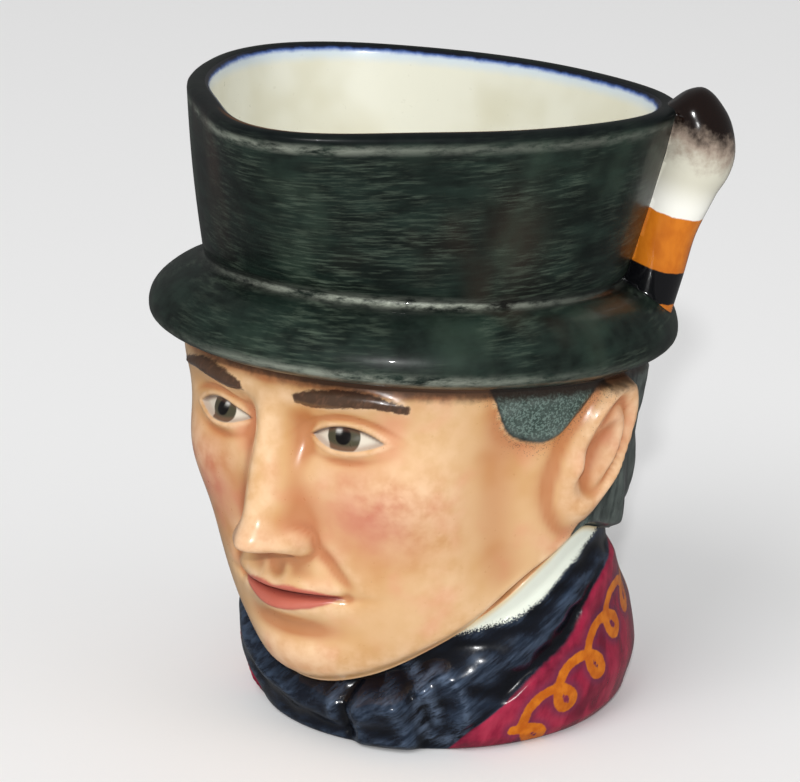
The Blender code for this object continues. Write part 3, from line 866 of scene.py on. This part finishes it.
def dressGlaze():
    material = newGlaze("cloth and coat glaze")
    paint = dressPaint
    warm = edged("underJaw", 1.2, 0.0)
    collar = layer(warm, paint["collar"], paint["collarWarm"], strength=0.7)
    spray = mottle(**paint["spray"])
    above = between(0.1, 0.5, frayed(painted("collar"), spray, reach=2.6, less=1.3))
    base = layer(above, clothPart(paint), collar)
    inCoat = brushed(painted("coat"), wander=0.35, soft=0.16)
    base = layer(inCoat, base, coatPart(paint))
    return finishGlaze(material, base, shine=0.2, waves=2.4, mirror=0.35)


cropPaint = {
    "horn": rgb(20, 9, 6), "hornPale": rgb(136, 112, 98), "cream": rgb(210, 207, 190),
    "white": rgb(246, 245, 236), "orange": rgb(212, 122, 30), "orangeDark": rgb(194, 104, 22),
    "black": rgb(14, 14, 17), "hornLevel": 80.0, "orangeTop": 71.1, "blackTop": 62.9, "ringTop": 58.1,
    "spots": dict(grain=1.7, detail=4.0, rough=0.62),
    "brushed": dict(low=0.35, high=0.7, grain=2.2, detail=3.0, rough=0.55, stretch=(1, 1, 0.5)),
}


def cropGlaze():
    material = newGlaze("crop glaze")
    paint = cropPaint
    base = layer(edged("band", 77.0, 72.0), paint["cream"], paint["white"])
    tip = sums("SUBTRACT", painted("horn"), paint["hornLevel"])
    shade = frayed(tip, mottle(**paint["spots"]), reach=6.0, less=3.0)
    base = layer(between(-4.0, 0.8, shade), base, paint["hornPale"], strength=0.8)
    base = layer(between(-0.6, 3.2, shade), base, paint["horn"])
    orange = layer(patches(**paint["brushed"]), paint["orange"], paint["orangeDark"])
    for top, over in (("orangeTop", orange), ("blackTop", paint["black"]), ("ringTop", orange)):
        inside = sums("SUBTRACT", paint[top], painted("band"))
        base = layer(brushed(inside, wander=0.5, soft=0.12), base, over)
    return finishGlaze(material, base, shine=0.12, waves=1.6, coat=0.6)


footPaint = {
    "clay": rgb(224, 219, 201), "stain": rgb(206, 198, 176),
    "stained": dict(low=0.4, high=0.7, grain=5.0, detail=3.0),
}


def footGlaze():
    material = newGlaze("foot glaze")
    base = layer(patches(**footPaint["stained"]), footPaint["clay"], footPaint["stain"])
    return finishGlaze(material, base, shine=0.45, coat=0.0)


glazes = {
    "underside": footGlaze(),
    "bust": dressGlaze(),
    "head": faceGlaze(),
    "hat": hatGlaze(),
    "inside": insideGlaze(),
    "handle": cropGlaze(),
}
print("glazes mixed:", len(glazes))


# The closed skin of the jug, row by row from the middle of the underside to the floor inside
zones = ["underside", "bust", "head", "hat", "inside", "handle"]


def jugRows(angle):
    bottom = foot["radius"] - foot["rounding"]
    under = bustPoint(angle, 1.0)
    edge = headPoint(angle, 0.0)
    shares = np.linspace(0.0, 1.0, 2001)
    low = spaced(skin["bustRows"], shares, 1 + 5 * bump(shares, 0, 0.03))
    fine = 1 + 3 * bump(shares, 0, 0.03) + 1.2 * bump(shares, 0.31, 0.06)
    fine = fine + 0.6 * bump(shares, 0.46, 0.06) + 1.4 * bump(shares, 0.8, 0.07)
    first = hat["fillet"] / (hat["rimHeight"] - hat["brimHeight"])
    rows = [(place(angle, bottom * share, 0.0, 0.0), "underside") for share in (0.05, 0.3, 0.6, 0.85)]
    rows += [(bustPoint(angle, share), "bust") for share in low]
    rows += [(under + (edge - under) * share, "head") for share in (0.3, 0.6, 0.85)]
    rows += [(headPoint(angle, share), "head") for share in spaced(skin["headRows"], shares, fine)]
    for point, places in (
        (underBrimPoint, np.linspace(0.9, 0.1, 9)),
        (brimPoint, np.linspace(0.0, 1.0, 17)),
        (filletPoint, (0.25, 0.5, 0.75, 1.0)),
        (crownPoint, np.linspace(first, hat["rimStart"], skin["crownRows"])[1:]),
        (rimPoint, np.linspace(0.1, 0.7, 7)),
    ):
        rows += [(point(angle, share), "hat") for share in places]
    inside = [rimPoint(angle, share) for share in (0.8, 0.9, 1.0)]
    down = np.linspace(hat["rimStart"], 0.08, 16)[1:]
    inside += [crownPoint(angle, share, hat["rimWall"]) for share in down]
    inside += insideRows(angle, [row for row, zone in rows])
    return rows + [(row, "inside") for row in inside]


def handleRows():
    # rings along a centre line in the upright plane of the handle
    turn = math.radians(handle["angle"])
    out = np.array([math.sin(turn), -math.cos(turn), 0.0])
    across = np.array([math.cos(turn), math.sin(turn), 0.0])
    where = np.array(handle["angle"])
    low, reach, horn, tip = (handle[name] for name in ("foot", "reach", "hornHeight", "horn"))
    start = float(brimTop(where)) - 0.75 * hat["brimDrop"]
    wallOut = float(openingRadius(where)) + 0.5 * hat["rimWall"]
    top = float(rimLevel(where)) + 0.12 * tip
    share = 1 - (1 - np.linspace(0, 1, handle["rings"])) ** 1.4
    # share of the way up, then how far out, how high and how thick the handle is there
    stations = (
        (0.0, low - 0.06 * (reach - low), start, handle["thickness"]),
        (0.19, low + 0.11 * (reach - low), start + 0.26 * (horn - start), handle["thickness"] * 1.2),
        (0.42, low + 0.33 * (reach - low), start + 0.56 * (horn - start), handle["thickness"] * 1.36),
        (0.62, low + 0.71 * (reach - low), start + 0.82 * (horn - start), 0.97 * tip),
        (0.77, reach, horn, tip),
        (0.89, wallOut + 0.79 * (reach - wallOut), horn + 0.56 * (top - horn), 0.91 * tip),
        (1.0, wallOut + 0.34 * (reach - wallOut), top, 0.3 * tip),
    )
    at, outs, heights, sizes = zip(*stations)
    outs = curve(share, *zip(at, outs))
    heights = curve(share, *zip(at, heights))
    thick = curve(share, *zip(at[:-1], sizes), (0.96, 0.68 * tip), (at[-1], sizes[-1]))
    line = np.array([0.0, -hat["lean"], 0.0]) + outs[:, None] * out
    line = line + heights[:, None] * np.array([0.0, 0.0, 1.0])
    along = np.gradient(line, axis=0)
    along /= np.linalg.norm(along, axis=1)[:, None]
    steps = np.linspace(0, 2 * np.pi, handle["sides"] + 1)[:, None]
    keel = handle["keel"] * np.clip(-np.cos(steps), 0, 1) ** 3
    rows = []
    for middle, direction, size in zip(line, along, thick):
        outBy = size / 2 * np.cos(steps) - keel
        ring = middle + outBy * np.cross(across, direction) + size / 2 * np.sin(steps) * across
        rows.append((ring, "handle"))
    return rows


def wrapSheet(name, rows):
    # a grid is laid out flat, wrapped round into the rows, sewn up the back and capped
    bpy.ops.object.select_all(action="DESELECT")
    count = len(rows[0][0])
    bpy.ops.mesh.primitive_grid_add(
        x_subdivisions=count - 1, y_subdivisions=len(rows) - 1, size=0.05, calc_uvs=False
    )
    piece = bpy.context.object
    piece.name = piece.data.name = name
    mesh = piece.data
    for zone in zones:
        mesh.materials.append(glazes[zone])
    mesh.vertices.foreach_set("co", np.concatenate([row for row, zone in rows]).ravel() * mm)
    numbers = [zones.index(zone) for row, zone in rows[1:]]
    mesh.polygons.foreach_set("material_index", np.repeat(numbers, count - 1))
    mesh.polygons.foreach_set("use_smooth", np.ones(len(mesh.polygons), bool))
    bpy.ops.object.transform_apply(location=True, rotation=True, scale=True)
    bpy.ops.object.mode_set(mode="EDIT")
    bpy.ops.mesh.select_all(action="SELECT")
    bpy.ops.mesh.remove_doubles(threshold=0.002 * mm)
    bpy.ops.mesh.select_all(action="DESELECT")
    bpy.ops.mesh.select_non_manifold()
    bpy.ops.mesh.fill_holes(sides=0)
    bpy.ops.mesh.select_all(action="SELECT")
    bpy.ops.mesh.normals_make_consistent(inside=False)
    bpy.ops.object.mode_set(mode="OBJECT")
    return piece


def buildJug():
    shares = np.linspace(-180.0, 180.0, 2881)
    density = 1 + 1.9 * bump(shares, 0, 44) + 1.4 * bump(np.abs(shares), ear["angle"], 16)
    angles = spaced(skin["columns"] + 1, shares, density)
    jug = wrapSheet("character_jug_glazed", jugRows(angles))
    print("skin of the jug:", len(jug.data.polygons), "faces")
    crop = wrapSheet("handle_blank", handleRows())
    bpy.ops.object.select_all(action="DESELECT")
    jug.select_set(True)
    bpy.context.view_layer.objects.active = jug
    union = jug.modifiers.new("join the handle", "BOOLEAN")
    union.operation = "UNION"
    union.solver = "MANIFOLD"
    union.object = crop
    bpy.ops.object.modifier_apply(modifier=union.name)
    bpy.data.objects.remove(crop, do_unlink=True)
    bpy.ops.object.shade_smooth()
    print("jug with its handle:", len(jug.data.polygons), "faces")
    return jug


# Where each colour goes, kept on the points of the skin as shares or distances in millimetres
def glazeRelief(mesh, positions):
    # height of the skin above its own smoothed copy: negative in hollows, positive on ridges
    edges = np.empty(len(mesh.edges) * 2, int)
    mesh.edges.foreach_get("vertices", edges)
    first, second = edges.reshape(-1, 2).T
    count = len(positions)
    share = np.bincount(first, minlength=count) + np.bincount(second, minlength=count)
    soft = positions.copy()
    for _ in range(28):
        total = [
            np.bincount(first, soft[second, axis], count) + np.bincount(second, soft[first, axis], count)
            for axis in range(3)
        ]
        soft = 0.4 * soft + 0.6 * np.stack(total, -1) / share[:, None]
    normals = np.empty(count * 3, np.float32)
    mesh.vertices.foreach_get("normal", normals)
    return ((positions - soft) * normals.reshape(-1, 3)).sum(-1)


trim = {
    "pitch": 7.2, "loop": 2.7, "sway": 2.6, "half": 0.74, "radius": 26.5,
    "route": ((60, 0.0), (71.5, 5.6), (90.5, 11.2), (103, 15.8), (120, 17.2), (180, 17.2)),
}


def trimInside(angle, height):
    # distance inside a looped cord that runs along the coat's front and round its collar
    angles = np.linspace(60, 180, 1600)
    across = np.radians(angles) * trim["radius"]
    up = curve(angles, *trim["route"])
    run = np.concatenate([[0.0], np.cumsum(np.hypot(np.diff(across), np.diff(up)))])
    loops = round(run[-1] / trim["pitch"])    # a whole number, so that both sides meet at the back
    turn = run / run[-1] * loops * 2 * math.pi
    tangent = np.stack([np.gradient(across, run), np.gradient(up, run)], -1)
    tangent /= np.linalg.norm(tangent, axis=1)[:, None]
    normal = np.stack([-tangent[:, 1], tangent[:, 0]], -1)
    line = np.stack([across, up], -1) + trim["sway"] * np.sin(turn)[:, None] * tangent
    line = line + trim["loop"] * np.cos(turn)[:, None] * normal
    flat = np.stack([np.radians(np.abs(angle)) * trim["radius"], height], -1)
    near = np.full(len(flat), 99.0)
    for point in line[::2]:
        near = np.minimum(near, np.hypot(*(flat - point).T))
    return trim["half"] - near


def paintedClothHighlight(angle, height):
    # painted highlights on the neckcloth: an arch over the loop, the rim of the pocket and a band on the
    # loop's outer side
    arch = bump(knotDome(angle, height), 1.5, 0.16) * ramp(3.0, 6.0, height)
    rim = 0.9 * bump(knotPocket(angle, height), 1.0, 0.2)
    side = 0.6 * bump(knotDome(angle + 1.5, height), 0.75, 0.2) * (angle > 21)
    return np.clip(arch + rim + side, 0, 1) * ramp(70, 40, np.abs(angle - 25))


absent = -5.0    # a distance for points that are well outside what is painted
blushForms = {
    "cheek": (0.75, 1.3, 0.62, 1.28, 0.3),
    "tip of the nose": (0.3, 0.0, 0.4, 1.12, 0.12),
    "chin": (0.2, 0, 0.5, 0.2, 0.14),
}
# the scale of the relief for hollows and ridges, then the angle and spread where the brim's pale lines carry
# painted highlight, and the least share away from it
wearAndSheen = {"relief": 0.16, "angle": 30, "spread": 36, "least": 0.06}
# patches of the crown: strength, then the angle and its reach and the height and its reach
wipedLow = (0.62, 14, 13, 67, 9)
wipedHigh = (0.496, 31, 12, 73, 4)
brownWash = (0.75, 64, 8, 73, 6)


def faceMarks(angle, height):
    side, level = faceGrid(angle, height)
    front = np.cos(np.radians(angle)) > 0.1
    eye = np.where(front, eyeOpening(side, level), absent)
    rise = level - face["eyeLevel"]
    gaze = np.hypot((side - face["irisSide"]) * head["eyeWidth"], (rise - face["irisRise"]) * third)
    spark = np.hypot((side - face["sparkSide"]) * head["eyeWidth"], (rise - face["sparkRise"]) * third)
    lid = bump(eye, 0.08, 0.28) * (rise > 0) * ramp(1.55, 1.3, side)
    mouth = bump(level, face["mouth"], 0.014) * ramp(0.84, 0.74, side)
    across, up = earAcross(angle, height)
    warmEar = 0.35 * bump(np.hypot(across / 7.0, up / 11.0), 0.0, 0.75)
    return {
        "eye": eye,
        "iris": np.where(front, face["iris"] - gaze, absent),
        "catchlight": bump(spark, 0.0, 0.3) * front,
        "lidLine": 0.95 * lid * front,
        "lips": np.where(front, lipShape(side, level), absent),
        "mouthLine": 0.9 * mouth * front,
        "nostril": mound(side, level, 0.8, 0.2, 0.07, 0.985, 0.03) * front,
        "brow": np.where(front, browShape(side, level), absent),
        "blush": np.maximum(mounds(side, level, blushForms) * front, warmEar),
        "hair": hairEdge(angle, height),
        "tuft": ramp(ear["angle"] + 3, ear["angle"] - 1, np.abs(angle)),
        "underBrim": brimFoot(angle) - height,
    }


def dressMarks(angle, height):
    side = np.abs(angle)
    above = height - clothEdge(angle) + bump(side, 76, 17)
    return {
        "underJaw": jawEdge(angle) - height,
        "collar": np.where(side < 40, absent, above),
        "paintedClothHighlight": paintedClothHighlight(angle, height),
        "coat": 0.85 * (coatEdge(angle) - height),
        "coatLow": ramp(12.0, 3.0, height),
        "trim": trimInside(angle, height),
    }


def hatMarks(angle, height, out):
    # the brim's pale lines are worn glaze with painted highlight, strongest about 30 degrees round from the
    # face
    shine = wearAndSheen["least"] + (1 - wearAndSheen["least"]) * bump(angle, wearAndSheen["angle"], wearAndSheen["spread"])
    rimShine = 0.35 + 0.65 * bump(angle, 5, 30)
    below = rimLevel(angle) - height
    crest = bump(out, openingRadius(angle) + 0.36 * hat["rimWall"], 0.13) * ramp(1.0, 0.2, below)
    return {
        "brimCorner": bump(hat["fillet"] + brimTop(angle) - height, 0.45, 0.34) * shine,
        "brimRidge": 0.55 * bump(height - brimEdge(angle), -1.2, 0.7) * shine,
        # a pale line just below the rim, stronger towards the front
        "rimPaleLine": 0.5 * bump(below, 1.9, 0.38) * rimShine,
        "wiped": np.maximum(mound(angle, height, *wipedLow), mound(angle, height, *wipedHigh)),
        "brownWash": mound(angle, height, *brownWash),
        "rimDepth": below,
        "rimLine": 0.8 * crest * ramp(0.6, 0.85, np.cos(np.radians(angle - 34))),
        "band": height + 0.31 * (out - 35.0),
        "horn": height + 0.37 * (out - 40.0),
    }


def markSkin(jug):
    mesh = jug.data
    flat = np.empty(len(mesh.vertices) * 3, np.float32)
    mesh.vertices.foreach_get("co", flat)
    points = flat.reshape(-1, 3).astype(float) / mm
    height = points[:, 2]
    back = points[:, 1] + lean(height)
    angle = np.degrees(np.arctan2(points[:, 0], -back))
    relief = glazeRelief(mesh, points) / wearAndSheen["relief"]
    marks = {"hollow": np.clip(-relief, 0, 1), "ridge": np.clip(relief, 0, 1)}
    marks.update(faceMarks(angle, height))
    marks.update(dressMarks(angle, height))
    marks.update(hatMarks(angle, height, np.hypot(points[:, 0], back)))
    for name, values in marks.items():
        mark = mesh.attributes.new(name, "FLOAT", "POINT")
        mark.data.foreach_set("value", values.astype(np.float32))
    print("marks kept on the skin:", len(marks))


jug = buildJug()
markSkin(jug)
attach(jug, "root")
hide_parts("character_jug")

view = {"azimuth": 38.0, "elevation": 17.5, "distance": 536.0, "height": 43.0, "aside": -5.37, "lens": 175.1}
studio = {
    "floor": 0.88, "room": 0.54, "mirroredRoom": 0.12, "aim": 0.045,
    # each light's azimuth and elevation, distance and size in metres, watts, and if it is mirrored
    "key": (5, 50, 2.4, 1.3, 21.0, False),
    "fill": (95, 25, 2.4, 1.6, 5.7, False),
    "flash": (36, 25, 1.8, 0.055, 14.4, True),
}


def direction(azimuth, elevation):
    # towards the place seen at these angles, and the turn of a camera or light that looks back from it
    turn, rise = math.radians(azimuth), math.radians(elevation)
    towards = np.array([math.sin(turn) * math.cos(rise), -math.cos(turn) * math.cos(rise), math.sin(rise)])
    return towards, (math.radians(90) - rise, 0.0, turn)


def buildCamera():
    back, turned = direction(view["azimuth"], view["elevation"])
    right = np.array([math.cos(turned[2]), math.sin(turned[2]), 0.0])
    target = np.array([0.0, 0.0, view["height"]]) + view["aside"] * right
    bpy.ops.object.camera_add(location=(target + back * view["distance"]) * mm, rotation=turned)
    camera = bpy.context.object
    camera.data.lens = view["lens"]
    camera.data.clip_start = 0.01
    bpy.context.scene.camera = camera


def areaLight(name, azimuth, elevation, distance, size, watts, mirrored):
    back, turned = direction(azimuth, elevation)
    aim = np.array([0.0, 0.0, studio["aim"]])
    bpy.ops.object.light_add(type="AREA", location=aim + back * distance, rotation=turned)
    light = bpy.context.object
    light.name = name
    light.data.size = size
    light.data.energy = watts
    light.visible_glossy = mirrored


def buildWorld():
    # an even pale room, which the glaze mirrors as a dim one
    world = bpy.data.worlds.new("studio")
    bpy.context.scene.world = world
    world.use_nodes = True
    tree = world.node_tree
    rays = tree.nodes.new("ShaderNodeLightPath")
    strength = tree.nodes.new("ShaderNodeMapRange")
    strength.inputs["To Min"].default_value = studio["room"]
    strength.inputs["To Max"].default_value = studio["mirroredRoom"]
    background = tree.nodes["Background"]
    background.inputs["Color"].default_value = (1.0, 1.0, 1.0, 1.0)
    tree.links.new(rays.outputs["Is Glossy Ray"], strength.inputs["Value"])
    tree.links.new(strength.outputs["Result"], background.inputs["Strength"])


def buildStudio():
    bpy.ops.object.select_all(action="DESELECT")
    bpy.ops.mesh.primitive_plane_add(size=8.0)
    floor = bpy.context.object
    floor.name = "studio_floor"
    floor.visible_glossy = False
    paper = bpy.data.materials.new("pale paper")
    paper.use_nodes = True
    shader = paper.node_tree.nodes["Principled BSDF"]
    shader.inputs["Base Color"].default_value = (*[studio["floor"]] * 3, 1.0)
    shader.inputs["Roughness"].default_value = 0.9
    floor.data.materials.append(paper)
    for name in ("key", "fill", "flash"):
        areaLight(name, *studio[name])
    bpy.context.scene.view_settings.view_transform = "Standard"


buildCamera()
buildWorld()
buildStudio()
